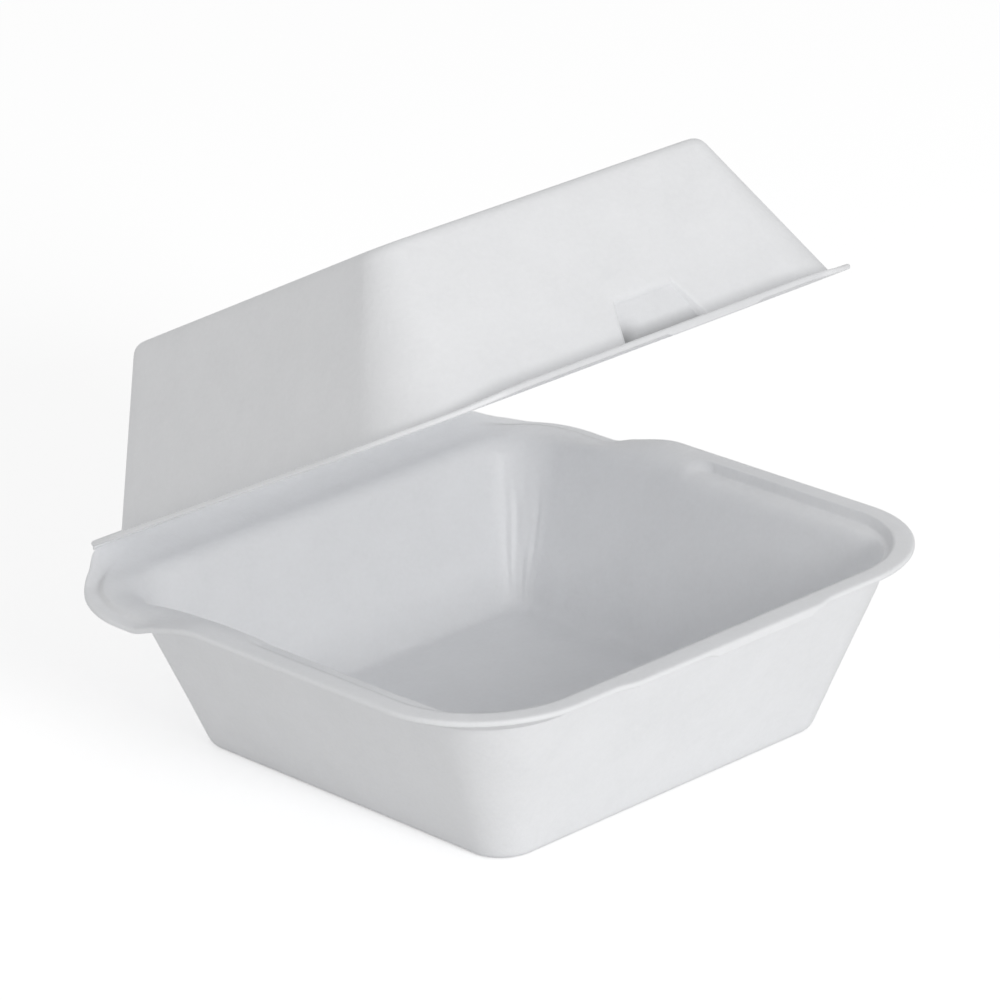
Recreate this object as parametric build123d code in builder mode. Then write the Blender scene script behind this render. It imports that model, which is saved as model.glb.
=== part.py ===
from build123d import *
from math import atan, cos
import os

# Hinged foam clamshell container, thermoformed from one sheet of white polystyrene foam.
# The tray is a flared square bowl with a flange round its mouth. A lid of much the same outline is joined
# to it along one pressed crease, and stands half open. Lengths are millimetres and angles are degrees.
# The origin is the centre of the tray's underside, +Z is up, +Y points to the hinge and -Y to the latch.

# Foam sheet
foam = 2.0
seat_gap = 0.3

# Tray bowl, measured over its outer walls
foot_width = 100.8
foot_depth = 102.4
foot_corner = 8.6
mouth_width = 133.2
mouth_front = 68.3
mouth_back = 65.0
mouth_corner = 17.0
rim_height = 43.5

# Tray flange
flange_width = 150.0
flange_front = 73.7
flange_front_corner = 30.0
flange_back_corner = 27.0

# Hinge side of the tray, where the flange dips and then climbs to the crease
hinge_back = 74.4
crease_thickness = 0.7
crease_run = 3.0
ear_drop = 4.0
ear_ramp_front = 20.0
ear_ramp_back = 40.0
strip_start = 66.0
ear_band = 3.8
ear_step = 0.9
ear_band_front = 36.0
ear_band_back = 69.0

# Ledge inside the front half of the flange
ledge_drop = 1.8
ledge_border = 5.2
ledge_corner = 25.0
ledge_back = 6.0
ledge_back_corner = 4.5

# Tongue in the middle of the front flange
tongue_left = -30.0
tongue_right = 26.0
tongue_reach = 1.3
tongue_slope = 5.0
lip_left = -7.0
lip_drop = 1.2
lip_depth = 2.2

# Lid, as it lies when it is closed
lid_rise = 39.4
lid_foot_width = 136.4
lid_foot_front = 65.4
lid_foot_back = 61.2
lid_foot_corner = 20.2
lid_top_width = 98.8
lid_top_front = 51.8
lid_top_back = 47.8
lid_top_corner = 6.5
lid_flange_width = 147.0
lid_flange_front = 74.3
lid_flange_front_corner = 34.0
lid_flange_back_corner = 33.0
lid_open_angle = 26.3

# Latch pocket and slot in the front of the lid
latch_middle = 7.0
pocket_top_width = 17.4
pocket_foot_width = 25.0
pocket_height = 10.6
pocket_depth = 4.0
slot_depth = 7.5

# Cut edges where flat faces meet the walls
foot_cut = 1.1
floor_cut = 1.6
lid_top_cut = 1.2
lid_inner_cut = 1.4

hinge_height = rim_height + seat_gap / 2
lid_seat = rim_height + seat_gap
lid_top = hinge_height + lid_rise
clear_above = 10.0


class Frustum:
    """A flared box with rounded corners: its plan at any height lies on straight lines from foot to mouth."""

    def __init__(self, low, high, low_plan, high_plan):
        self.low = low
        self.high = high
        self.low_plan = low_plan
        self.high_plan = high_plan

    def plan(self, height):
        """Width, front reach, back reach and corner radius at a height."""
        share = (height - self.low) / (self.high - self.low)
        return [a + (b - a) * share for a, b in zip(self.low_plan, self.high_plan)]

    def slant(self, index, count):
        """Foam thickness measured level across a wall that leans outwards or inwards."""
        run = (self.high_plan[index] - self.low_plan[index]) / count
        return foam / cos(atan(run / (self.high - self.low)))

    def inner_plan(self, height):
        """The plan at a height, one foam thickness inside the walls."""
        width, front, back, corner = self.plan(height)
        return [
            width - 2 * self.slant(0, 2),
            front - self.slant(1, 1),
            back - self.slant(2, 1),
            max(corner - foam, foam),
        ]


def draw_plan(plan, inset=0):
    """A rounded rectangle from width, front reach, back reach and corner radius, drawn in by an inset."""
    width, front, back, corner = plan
    with Locations((0, (back - front) / 2)):
        RectangleRounded(width - 2 * inset, front + back - 2 * inset, corner - inset)


def cut_edge(level, size):
    """Height and inset of the two sections that cut an edge off, from a flat face at a level into a wall."""
    return [(level, abs(size)), (level + size, 0)]


def draw_flange(width, front, back, front_corner, back_corner):
    """The outline of a flange: a rectangle whose front and hinge corners have their own radii."""
    with BuildSketch(mode=Mode.PRIVATE) as outline:
        with Locations((0, (back - front) / 2)):
            Rectangle(width, front + back)
        fillet(outline.vertices().group_by(Axis.Y)[0], front_corner)
        fillet(outline.vertices().group_by(Axis.Y)[-1], back_corner)
    add(outline.sketch)


def draw_rim_side(top_shift, thickness, end_thickness):
    """The flange seen from the side: level, down a soft ramp, level again and up an arc to the crease."""
    high = rim_height + top_shift
    low = high - ear_drop
    middle = (ear_ramp_front + ear_ramp_back) / 2
    reach = flange_front + 2 * tongue_reach
    end = hinge_back - seat_gap / 2
    with BuildSketch(mode=Mode.PRIVATE) as side:
        with BuildLine():
            for level, end_level in ((0, 0), (-thickness, -end_thickness)):
                Line((-reach, high + level), (ear_ramp_front, high + level))
                TangentArc(
                    (ear_ramp_front, high + level), (middle, high + level - ear_drop / 2), tangent=(1, 0)
                )
                TangentArc(
                    (ear_ramp_back, low + level), (middle, high + level - ear_drop / 2), tangent=(-1, 0)
                )
                Line((ear_ramp_back, low + level), (strip_start, low + level))
                TangentArc((strip_start, low + level), (end, high + end_level), tangent=(1, 0))
            Line((-reach, high), (-reach, high - thickness))
            Line((end, high), (end, high - end_thickness))
        make_face()
    add(side.sketch)


tray = Frustum(
    0,
    rim_height,
    [foot_width, foot_depth / 2, foot_depth / 2, foot_corner],
    [mouth_width, mouth_front, mouth_back, mouth_corner],
)
cover = Frustum(
    lid_top,
    hinge_height,
    [lid_top_width, lid_top_front, lid_top_back, lid_top_corner],
    [lid_foot_width, lid_foot_front, lid_foot_back, lid_foot_corner],
)

# The tray's flange is a bent sheet, cut to its outline
with BuildPart() as rim_sheet:
    with BuildSketch(Plane.YZ):
        draw_rim_side(0, foam, crease_thickness)
    extrude(amount=flange_width / 2, both=True)
    with BuildSketch(Plane.XY):
        draw_flange(
            flange_width, flange_front, hinge_back - seat_gap / 2, flange_front_corner, flange_back_corner
        )
        with BuildLine():
            Polyline(
                (tongue_left - tongue_slope, -flange_front + 1),
                (tongue_left - tongue_slope, -flange_front),
                (tongue_left, -flange_front - tongue_reach),
                (tongue_right, -flange_front - tongue_reach),
                (tongue_right + tongue_slope, -flange_front),
                (tongue_right + tongue_slope, -flange_front + 1),
                close=True,
            )
        make_face()
    extrude(amount=rim_height + clear_above, mode=Mode.INTERSECT)

# Lower band round the outside of each hinge corner
with BuildPart() as ear_zone:
    with BuildSketch(Plane.XY):
        draw_flange(
            flange_width, flange_front, hinge_back - seat_gap / 2, flange_front_corner, flange_back_corner
        )
        with BuildSketch(mode=Mode.PRIVATE) as inside:
            draw_flange(
                flange_width - 2 * ear_band,
                flange_front,
                hinge_back - seat_gap / 2 - ear_band,
                flange_front_corner,
                flange_back_corner - ear_band,
            )
        add(inside.sketch, mode=Mode.SUBTRACT)
        with Locations((0, (ear_band_front + ear_band_back) / 2)):
            Rectangle(flange_width, ear_band_back - ear_band_front, mode=Mode.INTERSECT)
    extrude(amount=rim_height + clear_above)

with BuildPart() as ear_bands:
    with BuildSketch(Plane.YZ):
        draw_rim_side(-ear_step, foam, crease_thickness)
    extrude(amount=flange_width / 2, both=True)
    add(ear_zone.part, mode=Mode.INTERSECT)

with BuildPart() as above_bands:
    with BuildSketch(Plane.YZ):
        draw_rim_side(clear_above, clear_above + ear_step, clear_above + ear_step)
    extrude(amount=flange_width / 2, both=True)
    add(ear_zone.part, mode=Mode.INTERSECT)

with BuildPart() as above_rim:
    with BuildSketch(Plane.YZ):
        draw_rim_side(clear_above, clear_above, clear_above)
    extrude(amount=flange_width / 2, both=True)

with BuildPart() as tray_hollow:
    for height, inset in cut_edge(foam, floor_cut) + [(rim_height + clear_above, 0)]:
        with BuildSketch(Plane.XY.offset(height)):
            draw_plan(tray.inner_plan(height), inset)
    loft(ruled=True)

with BuildPart() as base_tray:
    for height, inset in cut_edge(0, foot_cut) + [(rim_height, 0)]:
        with BuildSketch(Plane.XY.offset(height)):
            draw_plan(tray.plan(height), inset)
    loft(ruled=True)
    add(above_rim.part, mode=Mode.SUBTRACT)
    add(rim_sheet.part)
    add(above_bands.part, mode=Mode.SUBTRACT)
    add(ear_bands.part)

    # Pressed tray under the ledge
    ledge_front = flange_front - ledge_border
    with BuildSketch(Plane.XY.offset(rim_height - ledge_drop - foam)):
        draw_flange(
            flange_width - 2 * ledge_border + 2 * foam,
            ledge_front + foam,
            ledge_back + foam,
            ledge_corner + foam,
            ledge_back_corner + foam,
        )
    extrude(amount=ledge_drop + foam)

    add(tray_hollow.part, mode=Mode.SUBTRACT)
    with BuildSketch(Plane.XY.offset(rim_height - ledge_drop)):
        draw_flange(
            flange_width - 2 * ledge_border, ledge_front, ledge_back, ledge_corner, ledge_back_corner
        )
    extrude(amount=ledge_drop + clear_above, mode=Mode.SUBTRACT)

    # Turned-down lip on the right half of the tongue
    with BuildSketch(Plane.XY.offset(rim_height - foam - lip_drop)):
        with Locations(((lip_left + tongue_right) / 2, -flange_front - tongue_reach + lip_depth / 2)):
            Rectangle(tongue_right - lip_left, lip_depth)
    extrude(amount=lip_drop + foam)
base_tray.part.label = "base_tray"

# Latch pocket: a wedge pressed into the front wall, deepest at the flange
pocket_top = lid_seat + pocket_height
pocket_low = cover.plan(lid_seat)[1] - pocket_depth


def draw_pocket_side(grow, outside):
    """The wedge from the side: it starts at the wall's face and leans inwards down to the flange."""
    with BuildSketch(mode=Mode.PRIVATE) as side:
        with BuildLine():
            Polyline(
                (-pocket_low + grow, lid_seat),
                (-cover.plan(pocket_top)[1] + grow, pocket_top + grow),
                (-cover.plan(pocket_top)[1] - outside, pocket_top + grow),
                (-cover.plan(lid_seat)[1] - outside, lid_seat),
                close=True,
            )
        make_face()
    add(side.sketch)


def draw_pocket_front(grow):
    """The wedge from the front: narrow at the top and wide at the flange."""
    with BuildSketch(mode=Mode.PRIVATE) as front:
        with BuildLine():
            Polyline(
                (latch_middle - pocket_foot_width / 2 - grow, lid_seat),
                (latch_middle + pocket_foot_width / 2 + grow, lid_seat),
                (latch_middle + pocket_top_width / 2 + grow, pocket_top + grow),
                (latch_middle - pocket_top_width / 2 - grow, pocket_top + grow),
                close=True,
            )
        make_face()
    add(front.sketch)


with BuildPart() as pocket_shell:
    with BuildSketch(Plane.YZ):
        draw_pocket_side(foam, -foam / 2)
    extrude(amount=lid_foot_width / 2, both=True)
    with BuildSketch(Plane.XZ):
        draw_pocket_front(foam)
    extrude(amount=lid_foot_front + foam, mode=Mode.INTERSECT)

with BuildPart() as pocket_hollow:
    with BuildSketch(Plane.YZ):
        draw_pocket_side(0, foam)
    extrude(amount=lid_foot_width / 2, both=True)
    with BuildSketch(Plane.XZ):
        draw_pocket_front(0)
    extrude(amount=lid_foot_front + 2 * foam, mode=Mode.INTERSECT)
    with BuildSketch(Plane.XY.offset(lid_seat + foam)):
        Rectangle(lid_foot_width, 2 * lid_flange_front)
    extrude(amount=lid_rise, mode=Mode.INTERSECT)

with BuildPart() as lid_hollow:
    for height, inset in cut_edge(lid_top - foam, -lid_inner_cut) + [(lid_seat - clear_above, 0)]:
        with BuildSketch(Plane.XY.offset(height)):
            draw_plan(cover.inner_plan(height), inset)
    loft(ruled=True)

# The lid is drawn closed, and then swung open about the crease
with BuildPart() as closed_lid:
    for height, inset in cut_edge(lid_top, -lid_top_cut) + [(lid_seat, 0)]:
        with BuildSketch(Plane.XY.offset(height)):
            draw_plan(cover.plan(height), inset)
    loft(ruled=True)
    with BuildSketch(Plane.XY.offset(lid_seat)):
        draw_flange(
            lid_flange_width,
            lid_flange_front,
            hinge_back - seat_gap / 2,
            lid_flange_front_corner,
            lid_flange_back_corner,
        )
    extrude(amount=foam)
    with BuildSketch(Plane.YZ):
        with BuildLine():
            Polyline(
                (hinge_back - crease_run, lid_seat + foam),
                (hinge_back - seat_gap / 2, lid_seat + crease_thickness),
                (hinge_back + foam, lid_seat + crease_thickness),
                (hinge_back + foam, lid_seat + foam),
                close=True,
            )
        make_face()
    extrude(amount=lid_flange_width / 2, both=True, mode=Mode.SUBTRACT)
    add(lid_hollow.part, mode=Mode.SUBTRACT)
    add(pocket_shell.part)
    add(pocket_hollow.part, mode=Mode.SUBTRACT)

    # Slot through the flange under the pocket
    with BuildSketch(Plane.XY.offset(lid_seat)):
        with Locations((latch_middle, -pocket_low - slot_depth / 2)):
            Rectangle(pocket_foot_width, slot_depth)
    extrude(amount=foam, mode=Mode.SUBTRACT)

crease = Axis((0, hinge_back, hinge_height), (1, 0, 0))
lid = closed_lid.part.rotate(crease, -lid_open_angle)
lid.label = "lid"

os.makedirs("parts", exist_ok=True)
export_step(base_tray.part, "parts/base_tray.step")
export_step(lid, "parts/lid.step")
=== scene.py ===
"""Foam clamshell food box: a flared tray, a lid that stands half open and the crease between them.

Each half is one closed foam skin, a profile carried round a rounded square. Lengths are metres.
"""

from collections import namedtuple

import bpy
import numpy as np
from mathutils import Matrix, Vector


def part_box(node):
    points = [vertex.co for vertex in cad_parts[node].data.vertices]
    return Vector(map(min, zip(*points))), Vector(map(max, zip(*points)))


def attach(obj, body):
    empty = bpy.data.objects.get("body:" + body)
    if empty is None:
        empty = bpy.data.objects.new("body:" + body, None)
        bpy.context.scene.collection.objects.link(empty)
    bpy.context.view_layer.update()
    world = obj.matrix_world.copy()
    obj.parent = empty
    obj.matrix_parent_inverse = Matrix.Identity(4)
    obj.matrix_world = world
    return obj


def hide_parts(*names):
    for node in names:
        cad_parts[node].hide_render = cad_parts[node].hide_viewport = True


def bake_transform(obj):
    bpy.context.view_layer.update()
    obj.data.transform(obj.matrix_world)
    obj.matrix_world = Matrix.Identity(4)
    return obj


bl_info = {
    "name": "Foam Clamshell Box",
    "version": (1, 0, 0),
    "blender": (4, 5, 0),
    "location": "View3D > Sidebar > Foam Box",
    "description": "Builds a hinged foam food box over its CAD frame",
    "category": "Object",
}

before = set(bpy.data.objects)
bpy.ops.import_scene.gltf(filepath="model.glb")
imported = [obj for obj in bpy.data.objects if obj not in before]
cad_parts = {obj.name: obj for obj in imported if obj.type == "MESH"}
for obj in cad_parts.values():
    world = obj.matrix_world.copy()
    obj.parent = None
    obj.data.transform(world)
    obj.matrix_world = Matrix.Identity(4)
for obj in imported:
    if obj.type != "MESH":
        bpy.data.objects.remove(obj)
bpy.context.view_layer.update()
tray_low, tray_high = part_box("base_tray")

CORNER_STEPS = 60
SIDE_STEPS = 6
ROUND_STEPS = 6
CREASE_GAP = 0.00015
CREASE = np.array([0.0, tray_high.y + CREASE_GAP, tray_high.z + CREASE_GAP])
OPEN_ANGLE = np.radians(26.3)
BACK_MARKS = np.linspace(-0.036, 0.036, 25)

# A rounded rectangle seen from above: half its width, how far it reaches to the front and to the back
# from the middle, and the radii of its corners.
Plan = namedtuple("Plan", "half front back front_corner back_corner")

# Rings of the tray's flange: a distance inside its outline, and the most it may be of the way to the wall.
FLANGE_STEPS = (
    (0.0066, 0.90),
    (0.0056, 0.80),
    (0.0050, 0.70),
    (0.0041, 0.60),
    (0.0037, 0.52),
    (0.0024, 0.40),
    (0.0012, 0.20),
    (0.0, 0.0),
)


def length(name, description, default):
    """A length property in metres."""
    return bpy.props.FloatProperty(
        name=name, description=description, default=default, min=0.0, unit="LENGTH", precision=5
    )


def share(name, description, default):
    """A plain number from 0 to 1."""
    return bpy.props.FloatProperty(
        name=name, description=description, default=default, min=0.0, max=1.0, subtype="FACTOR"
    )


def shade(name, description, default):
    """A colour property."""
    return bpy.props.FloatVectorProperty(
        name=name, description=description, default=default, size=3, min=0.0, max=1.0, subtype="COLOR"
    )


def power(name, description, default):
    """A lamp's strength."""
    return bpy.props.FloatProperty(name=name, description=description, default=default, min=0.0)


class TraySizes(bpy.types.PropertyGroup):
    flange_width: length("Flange width", "Width over the tray's flange", tray_high.x - tray_low.x)
    rim: length("Rim height", "Height of the tray's flange", tray_high.z)
    foam: length("Foam", "Thickness of the foam sheet", 0.002)
    foot_half: length("Foot half width", "Half the width of the tray's underside", 0.0504)
    foot_reach: length("Foot reach", "Half the depth of the tray's underside", 0.0512)
    mouth_half: length("Mouth half width", "Half the width over the outer walls at the rim", 0.0666)
    ear_drop: length("Hinge side drop", "How far the flange dips towards the hinge", 0.0041)
    ear_lift: length("Hinge side lift", "How far it climbs again before the crease's arc", 0.0007)
    ear_step: length("Ear step", "Height of the crescent step round each hinge corner", 0.0009)
    ear_tip: length("Ear tip", "How far the hinge corner flicks out to the end of the crease", 0.0013)
    ledge_drop: length("Ledge drop", "Depth of the ledge inside the front half of the flange", 0.0018)
    crest_dip: length("Crest dip", "How far the bowl's edge dips towards the hinge", 0.0037)
    tongue_reach: length("Tongue reach", "How far the tongue stands out at the front", 0.0013)
    wrinkle: length("Wrinkle depth", "Depth of the wrinkles in the inner corners", 0.00018)
    wave: length("Unevenness", "How far the foam skin wanders from even", 0.00022)


class LidSizes(bpy.types.PropertyGroup):
    flange_half: length("Flange half width", "Half the width over the lid's flange", 0.0735)
    foot_half: length("Foot half width", "Half the width over the walls at the flange", 0.0682)
    top_half: length("Top half width", "Half the width of the lid's top", 0.0494)
    rise: length("Rise", "Height of the lid over the crease", 0.0394)
    thin_flange: length("Thin flange", "Thickness of the flange at the sides and the hinge", 0.0012)
    latch_middle: length("Latch middle", "How far right of the middle the latch pocket sits", 0.007)
    pocket_height: length("Pocket height", "Height of the latch pocket", 0.0106)
    pocket_depth: length("Pocket depth", "Depth of the latch pocket at the flange", 0.004)
    pocket_foot: length("Pocket foot", "Half the width of the pocket at the flange", 0.0125)
    pocket_top: length("Pocket top", "Half the width of the pocket at its top", 0.0087)
    slot_end: length("Slot end", "Foam left between the slot and the flange's front edge", 0.00545)


class FoamLook(bpy.types.PropertyGroup):
    colour: shade("Foam colour", "Colour of the foam", (0.93, 0.938, 0.955))
    mottle: share("Mottling", "How strongly the foam's tone varies", 0.05)
    roughness: share("Roughness", "Roughness of the foam skin", 0.4)
    # Painted shade: how much the colour is darkened in the lid's latch pocket, and along the lid flange's
    # front edge.
    shade_and_edge_depth: share("Pressed shade", "How much darker the foam is where it is pressed thin", 0.8)
    glow: share("Translucency", "Share of light that spreads inside the foam", 0.2)
    floor: shade("Floor colour", "Colour of the floor", (0.94, 0.94, 0.94))
    key: power("Key lamp", "Power of the soft key lamp in watts", 7.2)
    sky: power("Sky", "Strength of the even light from all round", 0.575)


def ease(low, high, value):
    """0 below low, 1 above high and 3t^2 - 2t^3 between them."""
    t = np.clip((value - low) / (high - low), 0.0, 1.0)
    return t * t * (3.0 - 2.0 * t)


def side_positions(low, high, marks):
    """Places along a straight side: fixed marks in the middle, even steps from them to the corners."""
    steps = np.linspace(0.0, 1.0, SIDE_STEPS + 1)
    return np.concatenate(
        [low + (marks[0] - low) * steps[:-1], marks, marks[-1] + (high - marks[-1]) * steps[1:]]
    )


def ring(plan, front_marks, side_marks):
    """A rounded rectangle seen from above as points (x, y) and outward normals, counterclockwise.

    A corner point is the arc's centre plus the radius times (cos a, sin a).
    """
    half, front, back, front_corner, back_corner = plan
    along_front = side_positions(-half + front_corner, half - front_corner, front_marks)
    along_side = side_positions(-front + front_corner, back - back_corner, side_marks)
    along_back = side_positions(-half + back_corner, half - back_corner, BACK_MARKS)[::-1]
    turn = np.linspace(0.0, np.pi / 2.0, CORNER_STEPS + 1)[1:-1]
    parts = []

    def straight(x, y, normal):
        points = np.stack(np.broadcast_arrays(x, y), axis=1)
        parts.append((points, np.broadcast_to(normal, points.shape)))

    def corner(x, y, radius, first):
        normal = np.stack([np.cos(turn + first), np.sin(turn + first)], axis=1)
        parts.append((np.array([x, y]) + radius * normal, normal))

    straight(along_front, -front, (0.0, -1.0))
    corner(half - front_corner, -front + front_corner, front_corner, -np.pi / 2.0)
    straight(half, along_side, (1.0, 0.0))
    corner(half - back_corner, back - back_corner, back_corner, 0.0)
    straight(along_back, back, (0.0, 1.0))
    corner(-half + back_corner, back - back_corner, back_corner, np.pi / 2.0)
    straight(-half, along_side[::-1], (-1.0, 0.0))
    corner(-half + front_corner, -front + front_corner, front_corner, np.pi)
    return np.concatenate([p for p, _ in parts]), np.concatenate([n for _, n in parts])


def inset(plan, distance):
    """A plan drawn in by a distance, with its corner radii."""
    return Plan(*(value - distance for value in plan))


def inside_ring(outline, normals, wall, distance, most):
    """A ring at a distance inside an outline, and at most a share of the way to the wall's ring."""
    room = np.sum((outline - wall) * normals, axis=1)
    return outline - normals * np.minimum(distance, most * room)[:, None]


def lift(points, height):
    """Points (x, y) and a height as points (x, y, z)."""
    return np.column_stack([points, np.broadcast_to(height, len(points))])


class Profile:
    """Rings of a skin in order, each with the distance over which its edge is rounded."""

    def __init__(self):
        self.rings = []
        self.rounds = []

    def add(self, points, rounding=0.0):
        self.rings.append(points)
        self.rounds.append(rounding)

    def row(self, number):
        """The row at which a ring starts once the rings before it are rounded."""
        return sum(ROUND_STEPS + 1 if rounding else 1 for rounding in self.rounds[:number])

    def way_to(self, number, neighbour):
        """The way from a rounded ring towards a neighbour, as long as the rounding distance.

        It takes at most half of the way to a ring that is rounded too, and nearly all of it to another.
        """
        way = self.rings[neighbour] - self.rings[number]
        whole = np.maximum(np.linalg.norm(way, axis=1, keepdims=True), 1e-9)
        most = 0.48 if self.rounds[neighbour] else 0.95
        return way * np.minimum(self.rounds[number] / whole, most)

    def rows(self):
        """All rows, with each rounded ring c replaced by the arc (1-t)^2 a + 2t(1-t) c + t^2 b.

        a and b lie one rounding distance before and after c, on the way to its neighbours.
        """
        rows = [self.rings[0]]
        for number in range(1, len(self.rings) - 1):
            here, rounding = self.rings[number], self.rounds[number]
            if rounding == 0.0:
                rows.append(here)
                continue
            a = here + self.way_to(number, number - 1)
            b = here + self.way_to(number, number + 1)
            for t in np.linspace(0.0, 1.0, ROUND_STEPS + 1):
                rows.append((1.0 - t) ** 2 * a + 2.0 * t * (1.0 - t) * here + t * t * b)
        rows.append(self.rings[-1])
        return np.stack(rows)


def hole_walls(over, under):
    """Faces that join the edges of a hole in one face of the sheet to those of the hole in the other."""
    sides = (
        (over[:, 0], under[:, 0]),
        (over[-1], under[-1]),
        (over[::-1, -1], under[::-1, -1]),
        (over[0, ::-1], under[0, ::-1]),
    )
    return [np.stack([a[:-1], a[1:], b[1:], b[:-1]], axis=1) for a, b in sides]


def skin_object(name, rows, gap=None, shade_and_dark_edge=None):
    """A closed skin from rows of rings: the first and last ring shrink to a point each.

    gap is (first row, last row, first row on the other side, last row there, first column, last column).
    Its cells are left out of both faces of the sheet. The last argument gives each point its painted shade in
    the latch pocket and its darkening at the flange's front edge, from 0 to 1.
    """
    count, columns = rows.shape[:2]
    points = np.concatenate([rows[0, :1], rows[1:-1].reshape(-1, 3), rows[-1, :1]])
    index = 1 + np.arange((count - 2) * columns).reshape(count - 2, columns)
    turned = np.roll(index, -1, axis=1)
    quads = np.stack([index[:-1], index[1:], turned[1:], turned[:-1]], axis=2)
    keep = np.ones(quads.shape[:2], bool)
    walls = []
    if gap:
        over_first, over_last, under_first, under_last, first, last = gap
        keep[over_first - 1 : over_last - 1, first:last] = False
        keep[under_first - 1 : under_last - 1, first:last] = False
        over = index[over_first - 1 : over_last, first : last + 1]
        under = index[under_first - 1 : under_last, first : last + 1][::-1]
        walls = hole_walls(over, under)
    quads = np.concatenate([quads[keep]] + walls)
    first_fan = np.stack([np.zeros(columns, int), index[0], turned[0]], axis=1)
    last_fan = np.stack([np.full(columns, len(points) - 1), turned[-1], index[-1]], axis=1)
    mesh = bpy.data.meshes.new(name)
    mesh.from_pydata(points.tolist(), [], quads.tolist() + first_fan.tolist() + last_fan.tolist())
    mesh.polygons.foreach_set("use_smooth", np.ones(len(mesh.polygons), bool))
    mesh.update()
    if shade_and_dark_edge is not None:
        values = np.concatenate([shade_and_dark_edge[0, :1], shade_and_dark_edge[1:-1].ravel(), shade_and_dark_edge[-1, :1]])
        mesh.attributes.new("shade_and_dark_edge", "FLOAT", "POINT").data.foreach_set("value", values)
    skin = bpy.data.objects.new(name, mesh)
    bpy.context.scene.collection.objects.link(skin)
    return skin


class Sums:
    """A shader socket that takes part in sums, so that a + b * c adds its Math nodes."""

    def __init__(self, tree, socket):
        self.tree = tree
        self.socket = socket

    def math(self, operation, *others):
        """One Math node on this socket and other sockets or numbers."""
        return node(self.tree, "ShaderNodeMath", {"operation": operation}, [self, *others])

    def __add__(self, other):
        return self.math("ADD", other)

    __radd__ = __add__

    def __mul__(self, other):
        return self.math("MULTIPLY", other)

    __rmul__ = __mul__

    def __sub__(self, other):
        return self.math("SUBTRACT", other)

    def __rsub__(self, other):
        return self.math("MULTIPLY", -1.0).math("ADD", other)


def node(tree, kind, settings, values, output=0):
    """Adds a node: its settings first, then the values or links of its sockets, by place or by name."""
    made = tree.nodes.new(kind)
    for name, value in settings.items():
        setattr(made, name, value)
    pairs = values.items() if isinstance(values, dict) else enumerate(values)
    for key, value in pairs:
        if isinstance(value, Sums):
            tree.links.new(value.socket, made.inputs[key])
        else:
            made.inputs[key].default_value = value
    return Sums(tree, made.outputs[output])


def new_material(name):
    """An empty material with its Output node."""
    material = bpy.data.materials.new(name)
    material.use_nodes = True
    material.node_tree.nodes.clear()
    output = material.node_tree.nodes.new("ShaderNodeOutputMaterial")
    return material, material.node_tree, output


def foam_material(look):
    """White foam: colour is the base times 1 + mottling * noise, less the painted shade of a point attribute,
    with a fine cell bump in a satin skin.
    """
    material, tree, output = new_material("White Foam")
    place = node(tree, "ShaderNodeTexCoord", {}, {}, "Object")
    blotch = node(
        tree, "ShaderNodeTexNoise", {}, {"Vector": place, "Scale": 90.0, "Detail": 4.0, "Roughness": 0.6}
    )
    grain = node(
        tree, "ShaderNodeTexNoise", {}, {"Vector": place, "Scale": 900.0, "Detail": 2.0, "Roughness": 0.5}
    )
    cells = node(tree, "ShaderNodeTexVoronoi", {}, {"Vector": place, "Scale": 650.0}, "Distance")
    # Painted shade: a point attribute on the lid darkens the colour in the latch pocket, most at its foot's
    # left end, and along the flange's front edge.
    shade_and_dark_edge = node(tree, "ShaderNodeAttribute", {"attribute_name": "shade_and_dark_edge"}, {}, "Fac")
    mottling = (blotch - 0.5) * look.mottle * 2.0 + (grain - 0.5) * look.mottle
    tone = mottling + 1.0 - shade_and_dark_edge * look.shade_and_edge_depth
    colour = node(
        tree, "ShaderNodeVectorMath", {"operation": "SCALE"}, {"Vector": tuple(look.colour), "Scale": tone}
    )
    rough = (blotch - 0.5) * 0.16 + look.roughness
    height = cells * 0.35 + grain * 0.5 + blotch * 0.9
    bump = node(tree, "ShaderNodeBump", {}, {"Strength": 0.35, "Distance": 0.00035, "Height": height})
    foam = node(
        tree,
        "ShaderNodeBsdfPrincipled",
        {},
        {
            "Base Color": colour,
            "Roughness": rough,
            "Normal": bump,
            "IOR": 1.45,
            "Specular IOR Level": 0.45,
            "Subsurface Weight": look.glow,
            "Subsurface Radius": (1.0, 1.0, 1.0),
            "Subsurface Scale": 0.003,
        },
    )
    tree.links.new(foam.socket, output.inputs["Surface"])
    return material


def wear(skin):
    """Gives a piece the one foam material, made on its first use."""
    look = bpy.context.scene.box_look
    material = bpy.data.materials.get("White Foam") or foam_material(look)
    skin.data.materials.clear()
    skin.data.materials.append(material)


def wander(points, size):
    """Slow unevenness of hand-sized patches: a sum of sines along x, y and z."""
    x, y, z = np.moveaxis(points, -1, 0)
    return size * (
        0.5 * np.sin(97.0 * x + 1.3 + 31.0 * z) * np.sin(83.0 * y + 0.4)
        + 0.3 * np.sin(171.0 * x - 141.0 * y + 2.1)
        + 0.2 * np.sin(263.0 * y + 211.0 * z + 190.0 * x)
    )


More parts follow.
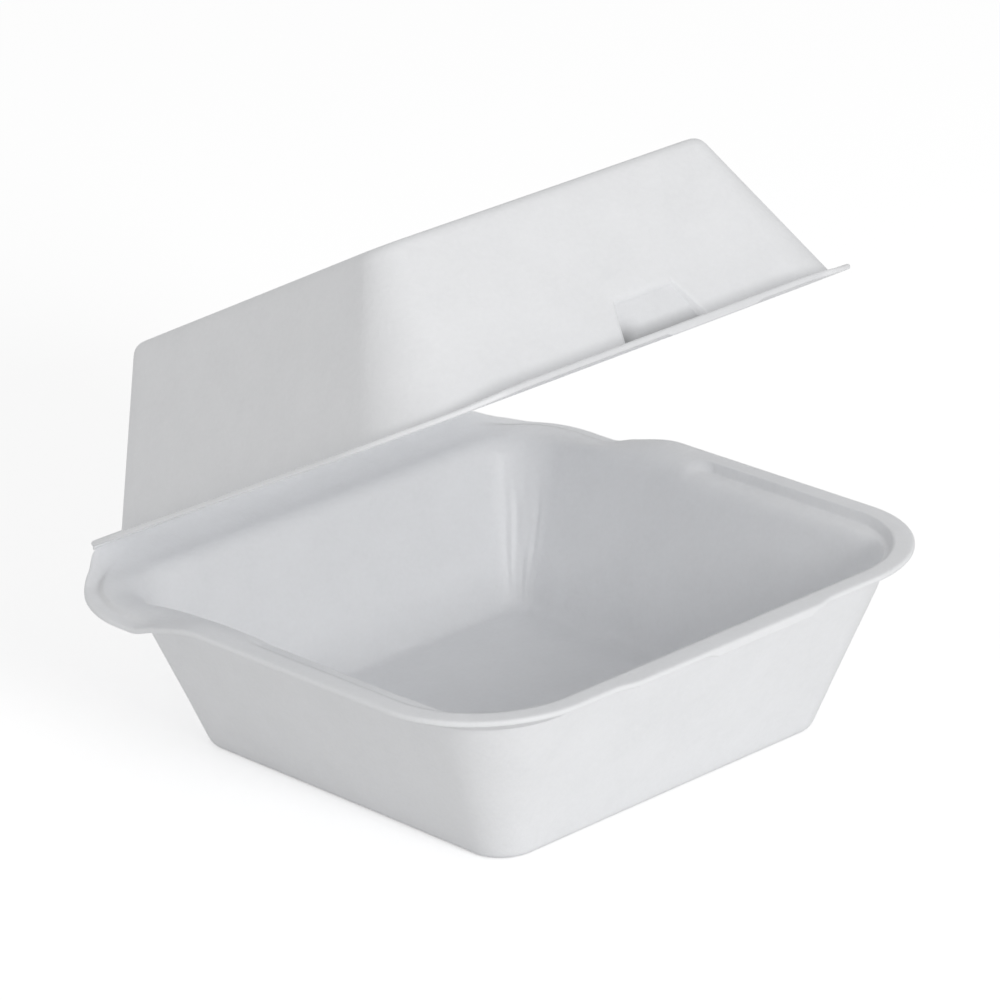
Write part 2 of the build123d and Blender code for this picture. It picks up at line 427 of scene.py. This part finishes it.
class TrayShape:
    """The tray's rings. A wall ring lies on straight lines from the foot plan to the mouth plan.

    A pair of numbers is where an ease step starts and ends, along x or y.
    """

    FRONT_SIDE = -0.06
    BACK_SIDE = 0.06
    RAMP_DOWN = (0.018, 0.042)
    LIFT_START = 0.045
    ARC_START = 0.0635
    CREST_DOWN = (0.031, 0.0605)
    CREST_UP = (0.057, 0.063)
    CREST_LIFT = 0.0014
    LEDGE_OUTLINE = 0.0052
    LEDGE_WALL = 0.0053
    LEDGE_ROUND = 0.0045
    EAR_FRONT = (0.034, 0.041)
    EAR_BACK = (0.062, 0.0705)
    EAR_BAND = 0.0039
    EAR_TIP_ENDS = (0.058, 0.0635)
    TONGUE_LEFT = (-0.035, -0.029)
    TONGUE_RIGHT = (0.025, 0.031)
    LIP_LEFT = (-0.0078, -0.0066)
    LIP_RIGHT = (0.0236, 0.0250)
    LIP_DROP = 0.0011

    def __init__(self, sizes):
        self.sizes = sizes
        self.front_marks = np.concatenate(
            [
                np.arange(-0.037, -0.028, 0.0012),
                np.arange(-0.0268, 0.0245, 0.0015),
                np.arange(0.025, 0.0335, 0.0012),
            ]
        )
        self.side_marks = np.concatenate(
            [
                np.arange(-0.033, -0.001, 0.003),
                np.arange(0.0, 0.0085, 0.0005),
                np.arange(0.009, 0.041, 0.0014),
            ]
        )
        self.outline = Plan(
            half=sizes.flange_width / 2.0,
            front=0.0737,
            back=tray_high.y,
            front_corner=0.030,
            back_corner=0.027,
        )
        self.outer_low = Plan(
            half=sizes.foot_half,
            front=sizes.foot_reach,
            back=sizes.foot_reach,
            front_corner=0.0086,
            back_corner=0.0086,
        )
        self.outer_high = Plan(
            half=sizes.mouth_half, front=0.0683, back=0.065, front_corner=0.017, back_corner=0.017
        )
        self.inner_low = inset(self.outer_low, sizes.foam * 1.02)
        self.inner_high = inset(self.outer_high, sizes.foam * 1.07)

    def ring(self, plan):
        return ring(plan, self.front_marks, self.side_marks)[0]

    def wall(self, low, high, height, base):
        """Points at a height on the lines from the low plan at the base to the high plan at the rim."""
        a, b = self.ring(low), self.ring(high)
        part = ((height - base) / (self.sizes.rim - base))[:, None]
        return np.column_stack([a + (b - a) * part, height])

    def edge_height(self, y):
        """Height of the flange's edge: level, down a ramp, a little up, then an arc r - sqrt(r^2 - d^2)."""
        sizes = self.sizes
        start, end = self.ARC_START, self.outline.back
        dip = sizes.ear_drop * ease(*self.RAMP_DOWN, y) - sizes.ear_lift * ease(self.LIFT_START, start, y)
        climb = sizes.ear_drop - sizes.ear_lift
        radius = ((end - start) ** 2 + climb**2) / (2.0 * climb)
        way = np.clip(y - start, 0.0, end - start)
        return sizes.rim - dip + radius - np.sqrt(radius**2 - way**2)

    def crest_height(self, y):
        """Height of the bowl's edge: below the rim by the ledge drop, dipping towards the hinge."""
        sizes = self.sizes
        low = sizes.ledge_drop + sizes.crest_dip * ease(*self.CREST_DOWN, y)
        return sizes.rim - low + self.CREST_LIFT * ease(*self.CREST_UP, y)

    def flange_height(self, points, distance, inner_share, under):
        """Height of the flange at a distance inside its outline.

        In front it steps down to the ledge, whose end follows the arc sqrt(r^2 - (r - d)^2). Further back
        it slopes to the crest by the inner share. The crescent step lowers the outer band of the hinge
        corners. The underside lies one foam thickness below, and less near the edge and the crease.
        """
        sizes = self.sizes
        y = points[:, 1]
        edge = self.edge_height(y)
        radius = self.LEDGE_ROUND
        inwards = min(max(distance - self.LEDGE_OUTLINE, 0.0), radius)
        ledge_end = 0.0015 + np.sqrt(radius**2 - (radius - inwards) ** 2)
        front = 1.0 - ease(ledge_end - 0.0015, ledge_end + 0.0035, y)
        stepped = sizes.ledge_drop * float(distance > self.LEDGE_WALL)
        sloped = (edge - self.crest_height(y)) * inner_share
        ear = ease(*self.EAR_FRONT, y) * (1.0 - ease(*self.EAR_BACK, y)) * float(distance < self.EAR_BAND)
        height = edge - front * stepped - (1.0 - front) * sloped - ear * sizes.ear_step
        if under:
            to_crease = 1.0 - 0.65 * ease(0.0695, self.outline.back, y)
            to_edge = 0.7 + 0.3 * ease(0.0008, 0.0045, distance)
            height = height - sizes.foam * to_crease * to_edge
        return height

    def reach_out(self, points, distance):
        """Moves the flange out at the tongue and at the ends of the crease, less so inside the outline."""
        sizes = self.sizes
        x, y = points.T
        fade = 1.0 - ease(0.0, 0.0045, distance)
        tongue = ease(*self.TONGUE_LEFT, x) * (1.0 - ease(*self.TONGUE_RIGHT, x)) * (y < self.FRONT_SIDE)
        tip = sizes.ear_tip * (1.0 - ease(*self.EAR_TIP_ENDS, np.abs(x))) * (y > self.BACK_SIDE)
        room = np.maximum(self.outline.back - distance - y, 0.0)
        shift = np.minimum(tip * fade, room) - sizes.tongue_reach * tongue * fade
        return np.stack([x, y + shift], axis=1)

    def flange_rings(self, wall_ring, under):
        """Rings of the flange from the wall outwards.

        Each is first noted as its points, its distance inside the outline and its share of the inner slope.
        """
        outline, normals = ring(self.outline, self.front_marks, self.side_marks)
        wall = wall_ring[:, :2]
        inner = inside_ring(outline, normals, wall, *FLANGE_STEPS[0])
        between = wall * 0.25 + inner * 0.75
        rings = [(between, 0.009, 0.36)]
        for distance, most in FLANGE_STEPS:
            points = inside_ring(outline, normals, wall, distance, most)
            inner_share = 0.15 * ease(0.005, 0.0066, distance)
            rings.append((self.reach_out(points, distance), distance, inner_share))
        step_shift = 0.0008 if under else 0.0
        return [
            lift(points, self.flange_height(points, distance + step_shift, inner_share, under))
            for points, distance, inner_share in rings
        ]

    def wrinkles(self, points, normals, part):
        """Upright wrinkles of the drawn foam in the corners: sines of the angle, faded at both ends."""
        angle = np.arctan2(normals[:, 1], normals[:, 0])
        turned = np.mod(angle, np.pi / 2.0)
        corner = ease(0.05, 0.35, turned) * (1.0 - ease(0.85, 1.35, turned))
        waver = 0.7 * np.sin(7.0 * part + 2.0 * angle) + 0.5 * np.sin(13.0 * part - 3.0 * angle)
        folds = np.sin(15.0 * angle + waver) + 0.5 * np.sin(27.0 * angle + 1.0 - 1.5 * waver)
        folds = folds * (0.65 + 0.35 * np.sin(11.0 * angle + 8.0 * part))
        strength = corner * ease(0.0, 0.25, part) * (1.0 - ease(0.6, 0.88, part))
        moved = points.copy()
        moved[:, :2] -= normals * (self.sizes.wrinkle * folds * strength)[:, None]
        return moved

    def uneven(self, rows, normals):
        """Lets the foam wander in and out along its walls and up and down on its flat parts."""
        z = rows[..., 2]
        rim = self.sizes.rim
        amount = wander(rows, self.sizes.wave)
        outwards = amount * ease(0.0, 0.012, z) * (1.0 - ease(rim - 0.011, rim - 0.006, z))
        rows[..., :2] += normals * outwards[..., None]
        rows[..., 2] += amount * ease(0.0, 0.01, z) * ease(0.001, 0.02, rim - z)
        return rows

    def rows(self):
        """The profile's rows: floor, inner wall, crest, flange, edge, flange below, outer wall, underside."""
        foam = self.sizes.foam
        profile = Profile()
        floor_ring, normals = ring(self.inner_low, self.front_marks, self.side_marks)
        centre = np.zeros_like(floor_ring)
        profile.add(lift(centre, foam))
        for part in (0.35, 0.7, 0.9):
            profile.add(lift(floor_ring * part, foam))
        profile.add(lift(floor_ring, foam), rounding=0.0026)
        crest_height = self.crest_height(self.ring(self.inner_high)[:, 1])
        for part in np.linspace(0.1, 0.88, 22):
            height = foam + (crest_height - foam) * part
            wall = self.wall(self.inner_low, self.inner_high, height, foam)
            profile.add(self.wrinkles(wall, normals, part))
        crest = self.wall(self.inner_low, self.inner_high, crest_height, foam)
        profile.add(crest, rounding=0.0034)
        flange = self.flange_rings(crest, False)
        for points in flange[:-1]:
            profile.add(points)
        profile.add(flange[-1], rounding=0.0009)

        outer_height = self.crest_height(self.ring(self.outer_high)[:, 1]) - foam
        outer = self.wall(self.outer_low, self.outer_high, outer_height, 0.0)
        below = self.flange_rings(outer, True)[::-1]
        x, y = below[0][:, 0], below[0][:, 1]
        lip = ease(*self.LIP_LEFT, x) * (1.0 - ease(*self.LIP_RIGHT, x)) * (y < self.FRONT_SIDE)
        below[0][:, 2] -= self.LIP_DROP * lip
        profile.add(below[0], rounding=0.0009)
        for points in below[1:]:
            profile.add(points)
        profile.add(outer, rounding=0.0012)
        for part in np.linspace(0.92, 0.08, 12):
            profile.add(self.wall(self.outer_low, self.outer_high, outer_height * part, 0.0))
        foot_ring = self.ring(self.outer_low)
        profile.add(lift(foot_ring, 0.0), rounding=0.0018)
        for part in (0.9, 0.6, 0.3):
            profile.add(lift(foot_ring * part, 0.0))
        profile.add(lift(centre, 0.0))
        return self.uneven(profile.rows(), normals)


class LidShape:
    """The lid's rings, drawn shut. Walls lie on straight lines from the foot plan to the top plan.

    A pair of numbers is where an ease step starts and ends, along x or y. The flange's steps are a distance
    inside its outline and the most that may be of the way to the wall.
    """

    FRONT_SIDE = -0.03
    BACK_SIDE = 0.05
    BESIDE_POCKET = np.array([0.0128, 0.0131, 0.0140, 0.0155, 0.0180, 0.0210, 0.0250, 0.0290])
    LOW_LEVELS = (0.0006, 0.0016, 0.0030, 0.0050, 0.0070, 0.0085, 0.0096, 0.0104, 0.0108, 0.0112)
    OUTER_STEPS = ((0.0040, 0.7), (0.0025, 0.5), (0.0012, 0.25), (0.0, 0.0))
    WIDE_FLANGE = (-0.0725, -0.058)
    THICK_MIDDLE = (0.040, 0.060)
    LATCH_LEFT = (-0.0012, 0.0002)
    LATCH_RIGHT = (0.0248, 0.0262)
    NOTCH = 0.0006
    TIP_REACH = 0.0055
    TIP_ENDS = (0.0560, 0.0648)
    TIP_FADE = 0.0060
    SLOT_RINGS = 3
    TOP_DEPTH = 0.0010
    # Painted shade in the latch pocket: a little over it, more along its foot and most at the foot's left
    # end; then the darkening along the flange's front edge.
    POCKET_SHADE = 0.09
    FOOT_SHADE = 0.4
    CORNER_SHADE = 0.75
    EDGE_DARKENING = 0.16

    def __init__(self, sizes, foam):
        self.sizes = sizes
        self.foam = foam
        self.seat = CREASE[2] + CREASE_GAP
        self.base = CREASE[2]
        beside = self.BESIDE_POCKET
        pocket_marks = np.linspace(-sizes.pocket_foot, sizes.pocket_foot, 41)
        self.front_marks = sizes.latch_middle + np.concatenate([-beside[::-1], pocket_marks, beside])
        first_column = SIDE_STEPS + len(beside)
        self.slot_columns = (first_column, first_column + len(pocket_marks) - 1)
        self.side_marks = np.linspace(-0.030, 0.030, 16)
        self.outline = Plan(
            half=sizes.flange_half, front=0.0743, back=tray_high.y, front_corner=0.034, back_corner=0.033
        )
        self.low = Plan(
            half=sizes.foot_half, front=0.0654, back=0.0612, front_corner=0.0202, back_corner=0.0202
        )
        self.high = Plan(
            half=sizes.top_half, front=0.0518, back=0.0478, front_corner=0.0065, back_corner=0.0065
        )

    def ring(self, plan):
        return ring(plan, self.front_marks, self.side_marks)[0]

    def wall(self, height, draw_in):
        """Points at a height over the flange on the wall's lines, drawn in for the inner side."""
        a, b = self.ring(inset(self.low, draw_in)), self.ring(inset(self.high, draw_in))
        height = np.broadcast_to(height, len(a))
        part = (height + self.seat - self.base) / self.sizes.rise
        points = lift(a + (b - a) * part[:, None], self.seat + height)
        return self.press_pocket(points, height)

    def press_pocket(self, points, height):
        """Pushes the front wall in to the pocket's floor, deepest at the flange and at its left end.

        The marks inside the pocket first draw together with height, so that its slanting sides run along
        the mesh's columns.
        """
        sizes = self.sizes
        front = points[:, 1] < self.FRONT_SIDE
        across = points[:, 0] - sizes.latch_middle
        way_up = np.clip(height / sizes.pocket_height, 0.0, 1.0)
        narrow = (1.0 - sizes.pocket_top / sizes.pocket_foot) * way_up
        narrow = narrow * (1.0 - ease(sizes.pocket_height, sizes.pocket_height + 0.009, height))
        pull = narrow * np.clip(across, -sizes.pocket_foot, sizes.pocket_foot)
        last_mark = self.BESIDE_POCKET[-1]
        points[:, 0] -= pull * (1.0 - ease(sizes.pocket_foot, last_mark, np.abs(across))) * front
        inside = 1.0 - ease(sizes.pocket_foot, sizes.pocket_foot + 0.0004, np.abs(across))
        inside = inside * (1.0 - ease(sizes.pocket_height - 0.0002, sizes.pocket_height + 0.0006, height))
        foot_depth = sizes.pocket_depth * (0.8 - 0.22 * across / sizes.pocket_foot)
        depth = foot_depth * (1.0 - way_up) + self.TOP_DEPTH * way_up
        points[:, 1] += depth * inside * front
        return points

    def flange_thickness(self, points):
        """Thickness of the flange, and where it is the full foam: in the middle of the front."""
        x, y = points[:, 0], points[:, 1]
        middle = (1.0 - ease(*self.WIDE_FLANGE, y)) * (1.0 - ease(*self.THICK_MIDDLE, np.abs(x)))
        thick = self.sizes.thin_flange + (self.foam - self.sizes.thin_flange) * middle
        return thick * (1.0 - 0.55 * ease(0.0700, self.outline.back, y)), middle

    def flange_faces(self, points, distance):
        """The flange's two faces as rings, with a notch below its front edge beside the latch."""
        thick, middle = self.flange_thickness(points)
        x = points[:, 0]
        beside = 1.0 - ease(*self.LATCH_LEFT, x) * (1.0 - ease(*self.LATCH_RIGHT, x))
        notch = self.NOTCH * middle * beside * (1.0 - ease(0.0, 0.0040, distance))
        return lift(points, self.seat + thick), lift(points, self.seat + notch)

    def flange_ring(self, wall, distance, most):
        """A ring of the flange inside its outline, which runs out to the ends of the crease."""
        outline, normals = ring(self.outline, self.front_marks, self.side_marks)
        points = inside_ring(outline, normals, wall, distance, most)
        x, y = points.T
        tip = self.TIP_REACH * (1.0 - ease(*self.TIP_ENDS, np.abs(x))) * (y > self.BACK_SIDE)
        tip = tip * (1.0 - ease(0.0, self.TIP_FADE, distance))
        room = np.maximum(self.outline.back - distance - y, 0.0)
        return np.stack([x, y + np.minimum(tip, room)], axis=1)

    def profile(self):
        """The profile and its gap for the slot: top, outer wall, flange, edge, flange below, inner side."""
        foam = self.foam
        top = self.base + self.sizes.rise - self.seat
        wall_in = foam * 1.06
        levels = np.concatenate([self.LOW_LEVELS, np.linspace(0.0125, 0.0345, 10)])
        thick = self.flange_thickness(self.wall(foam, 0.0))[0]
        foot_over = self.wall(thick, 0.0)
        steps = ((self.sizes.slot_end, 0.9), *self.OUTER_STEPS)
        outer_rings = [self.flange_ring(foot_over[:, :2], *step) for step in steps]
        faces = []
        for part in (0.03, 0.4, 0.7):
            points = foot_over[:, :2] * (1.0 - part) + outer_rings[0] * part
            faces.append(self.flange_faces(points, 0.01))
        for points, step in zip(outer_rings, steps):
            faces.append(self.flange_faces(points, step[0]))

        profile = Profile()
        centre = np.zeros_like(outer_rings[0])
        outer_top = self.wall(top, 0.0)
        profile.add(lift(centre, self.seat + top))
        for part in (0.4, 0.8):
            profile.add(lift(outer_top[:, :2] * part, self.seat + top))
        profile.add(outer_top, rounding=0.0026)
        for level in levels[levels > foam][::-1]:
            profile.add(self.wall(level, 0.0))
        profile.add(foot_over, rounding=0.0006)
        over_number = len(profile.rings)
        for over, _ in faces[:-1]:
            profile.add(over)
        profile.add(faces[-1][0], rounding=0.0007)
        profile.add(faces[-1][1], rounding=0.0007)
        for _, under in faces[-2::-1]:
            profile.add(under)
        under_number = len(profile.rings) - 1
        profile.add(self.wall(0.0, wall_in), rounding=0.0008)
        for level in levels:
            profile.add(self.wall(level, wall_in))
        inner_top = self.wall(top - foam, wall_in)
        profile.add(inner_top, rounding=0.0022)
        for part in (0.8, 0.4):
            profile.add(lift(inner_top[:, :2] * part, self.seat + top - foam))
        profile.add(lift(centre, self.seat + top - foam))
        gap = (
            profile.row(over_number),
            profile.row(over_number + self.SLOT_RINGS),
            profile.row(under_number - self.SLOT_RINGS),
            profile.row(under_number),
            *self.slot_columns,
        )
        return profile, gap

    def shade_and_dark_edge(self, rows):
        """How much painted shade and edge darkening the foam carries, from 0 to 1: the largest of four
        products of ease steps.

        The painted shade is a little over the latch pocket, more at its foot and most at the foot's left end,
        where the recess is deepest. The flange's front edge is darkened too.
        """
        sizes = self.sizes
        x, y, z = np.moveaxis(rows, -1, 0)
        across = x - sizes.latch_middle
        height = z - self.seat
        way_up = np.clip(height / sizes.pocket_height, 0.0, 1.0)
        half = sizes.pocket_foot - (sizes.pocket_foot - sizes.pocket_top) * way_up
        inside = ease(-0.0002, 0.0006, half - np.abs(across))
        inside = inside * (1.0 - ease(-0.0004, 0.0004, height - sizes.pocket_height))
        inside = inside * ease(-0.0668, -0.0645, y) * (y < self.FRONT_SIDE)
        foot_line = self.FOOT_SHADE * (1.0 - ease(0.0022, 0.0044, height))
        left = 1.0 - ease(0.001, 0.0115, across + sizes.pocket_foot)
        corner = self.CORNER_SHADE * left * (1.0 - ease(0.002, 0.0095, height))
        cut_edge = self.EDGE_DARKENING * (1.0 - ease(-0.0739, -0.0727, y))
        pocket = inside * np.maximum(self.POCKET_SHADE, np.maximum(foot_line, corner))
        return np.maximum(pocket, cut_edge)


def swing_open(rows):
    """Turns points about the crease by the opening angle, front up."""
    y, z = rows[..., 1] - CREASE[1], rows[..., 2] - CREASE[2]
    cosine, sine = np.cos(OPEN_ANGLE), np.sin(OPEN_ANGLE)
    turned = rows.copy()
    turned[..., 1] = CREASE[1] + y * cosine + z * sine
    turned[..., 2] = CREASE[2] - y * sine + z * cosine
    return turned


class BuildTray(bpy.types.Operator):
    """Builds the foam tray with its flange, ledge, hinge corners and tongue"""

    bl_idname = "foam_box.tray"
    bl_label = "Foam tray"

    def execute(self, context):
        tray = skin_object("foam_tray", TrayShape(context.scene.box_tray).rows())
        wear(tray)
        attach(tray, "base")
        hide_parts("base_tray")
        return {"FINISHED"}


class BuildLid(bpy.types.Operator):
    """Builds the foam lid with its flange, latch pocket and slot"""

    bl_idname = "foam_box.lid"
    bl_label = "Foam lid"

    def execute(self, context):
        shape = LidShape(context.scene.box_lid, context.scene.box_tray.foam)
        profile, gap = shape.profile()
        rows = profile.rows()
        lid = skin_object("foam_lid", swing_open(rows), gap, shape.shade_and_dark_edge(rows))
        wear(lid)
        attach(lid, "lid")
        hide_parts("lid")
        return {"FINISHED"}


class BuildCrease(bpy.types.Operator):
    """Builds the thin web of foam that bends along the crease"""

    bl_idname = "foam_box.crease"
    bl_label = "Crease web"

    def execute(self, context):
        """The web is an oval of 0.44 by 1.7 mm, (a cos t, b sin t), carried along the crease."""
        half_width, half_height, half_length = 0.00022, 0.00085, 0.0575
        turn = np.linspace(0.0, -2.0 * np.pi, 25)[:-1]
        along = np.linspace(-half_length, half_length, 59)
        oval = np.stack([half_width * np.cos(turn), half_height * np.sin(turn)], axis=1)
        rings = np.zeros((len(along) + 2, len(turn), 3))
        rings[1:-1, :, 0] = along[:, None]
        rings[0, :, 0], rings[-1, :, 0] = along[0], along[-1]
        rings[..., 1:] = CREASE[1:]
        rings[1:-1, :, 1:] += oval
        web = skin_object("crease_web", rings)
        wear(web)
        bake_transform(web)
        return {"FINISHED"}


class BuildStage(bpy.types.Operator):
    """Builds the floor, the lamp, the sky and the camera"""

    bl_idname = "foam_box.stage"
    bl_label = "Floor, lamp and camera"

    def execute(self, context):
        look = context.scene.box_look
        scene = context.scene
        scene.view_settings.view_transform = "Standard"
        mesh = bpy.data.meshes.new("floor")
        reach = 6.0
        mesh.from_pydata(
            [(-reach, -reach, 0.0), (reach, -reach, 0.0), (reach, reach, 0.0), (-reach, reach, 0.0)],
            [],
            [(0, 1, 2, 3)],
        )
        floor = bpy.data.objects.new("floor", mesh)
        scene.collection.objects.link(floor)
        floor.data.materials.append(self.floor_material(look))
        self.lamp("Key Lamp", place=(-0.25, -1.5, 0.6), target=(0.0, 0.0, 0.05), size=0.4, watts=look.key)
        self.sky(scene, look)
        self.camera(scene)
        return {"FINISHED"}

    def floor_material(self, look):
        """A pale floor, with a glow that only the camera sees and that brings its lit part to white."""
        material, tree, output = new_material("Pale Floor")
        seen = node(tree, "ShaderNodeLightPath", {}, {}, "Is Camera Ray")
        glow = node(
            tree, "ShaderNodeVectorMath", {"operation": "SCALE"}, {"Vector": (0.4, 0.4, 0.4), "Scale": seen}
        )
        paint = node(
            tree,
            "ShaderNodeBsdfPrincipled",
            {},
            {
                "Base Color": (*look.floor, 1.0),
                "Roughness": 0.9,
                "Specular IOR Level": 0.0,
                "Emission Color": glow,
                "Emission Strength": 1.0,
            },
        )
        tree.links.new(paint.socket, output.inputs["Surface"])
        return material

    def lamp(self, name, place, target, size, watts):
        """A square area lamp at a place, aimed at a target."""
        data = bpy.data.lights.new(name, "AREA")
        data.energy = watts
        data.size = size
        made = bpy.data.objects.new(name, data)
        bpy.context.scene.collection.objects.link(made)
        made.matrix_world = aim(place, np.array(place) - np.array(target))

    def sky(self, scene, look):
        """Even light from all round, and plain white where the camera or a transmission ray sees it."""
        world = bpy.data.worlds.new("Studio")
        scene.world = world
        world.use_nodes = True
        tree = world.node_tree
        tree.nodes.clear()
        output = tree.nodes.new("ShaderNodeOutputWorld")
        camera_ray = node(tree, "ShaderNodeLightPath", {}, {}, "Is Camera Ray")
        clear_ray = node(tree, "ShaderNodeLightPath", {}, {}, "Is Transmission Ray")
        strength = camera_ray.math("MAXIMUM", clear_ray) * (1.0 - look.sky) + look.sky
        background = node(
            tree, "ShaderNodeBackground", {}, {"Color": (1.0, 1.0, 1.0, 1.0), "Strength": strength}
        )
        tree.links.new(background.socket, output.inputs["Surface"])

    def camera(self, scene):
        """The camera at the photograph's place, with its own axes as columns."""
        data = bpy.data.cameras.new("Photo Camera")
        data.lens = 209.99
        data.sensor_width = 36.0
        data.clip_start = 0.01
        camera = bpy.data.objects.new("Photo Camera", data)
        scene.collection.objects.link(camera)
        right = (0.73080749, -0.6808292, -0.04890832)
        up = (0.28537784, 0.23966515, 0.92796557)
        back = (-0.62006444, -0.69212154, 0.36944265)
        turned = Matrix((right, up, back)).transposed().to_4x4()
        turned.translation = (-0.808779, -0.903286, 0.538629)
        camera.matrix_world = turned
        scene.camera = camera


def aim(place, back):
    """A matrix at a place whose +Z points along back, with +X level."""
    back = back / np.linalg.norm(back)
    right = np.cross((0.0, 0.0, 1.0), back)
    right = right / np.linalg.norm(right)
    up = np.cross(back, right)
    turned = Matrix((tuple(right), tuple(up), tuple(back))).transposed().to_4x4()
    turned.translation = place
    return turned


class BoxPanel(bpy.types.Panel):
    """Lists the pieces, sizes and colours of the foam box"""

    bl_idname = "VIEW3D_PT_foam_box"
    bl_label = "Foam Box"
    bl_space_type = "VIEW_3D"
    bl_region_type = "UI"
    bl_category = "Foam Box"

    def draw(self, context):
        layout = self.layout
        for group in (context.scene.box_tray, context.scene.box_lid, context.scene.box_look):
            column = layout.column(align=True)
            for name in group.bl_rna.properties.keys():
                if name not in ("rna_type", "name"):
                    column.prop(group, name)
        for operator in (BuildTray, BuildLid, BuildCrease, BuildStage):
            layout.operator(operator.bl_idname)


CLASSES = (TraySizes, LidSizes, FoamLook, BuildTray, BuildLid, BuildCrease, BuildStage, BoxPanel)


def register():
    for item in CLASSES:
        bpy.utils.register_class(item)
    bpy.types.Scene.box_tray = bpy.props.PointerProperty(type=TraySizes)
    bpy.types.Scene.box_lid = bpy.props.PointerProperty(type=LidSizes)
    bpy.types.Scene.box_look = bpy.props.PointerProperty(type=FoamLook)


def unregister():
    del bpy.types.Scene.box_look
    del bpy.types.Scene.box_lid
    del bpy.types.Scene.box_tray
    for item in reversed(CLASSES):
        bpy.utils.unregister_class(item)


def main():
    register()
    bpy.ops.foam_box.tray()
    bpy.ops.foam_box.lid()
    bpy.ops.foam_box.crease()
    bpy.ops.foam_box.stage()


if __name__ == "__main__":
    main()
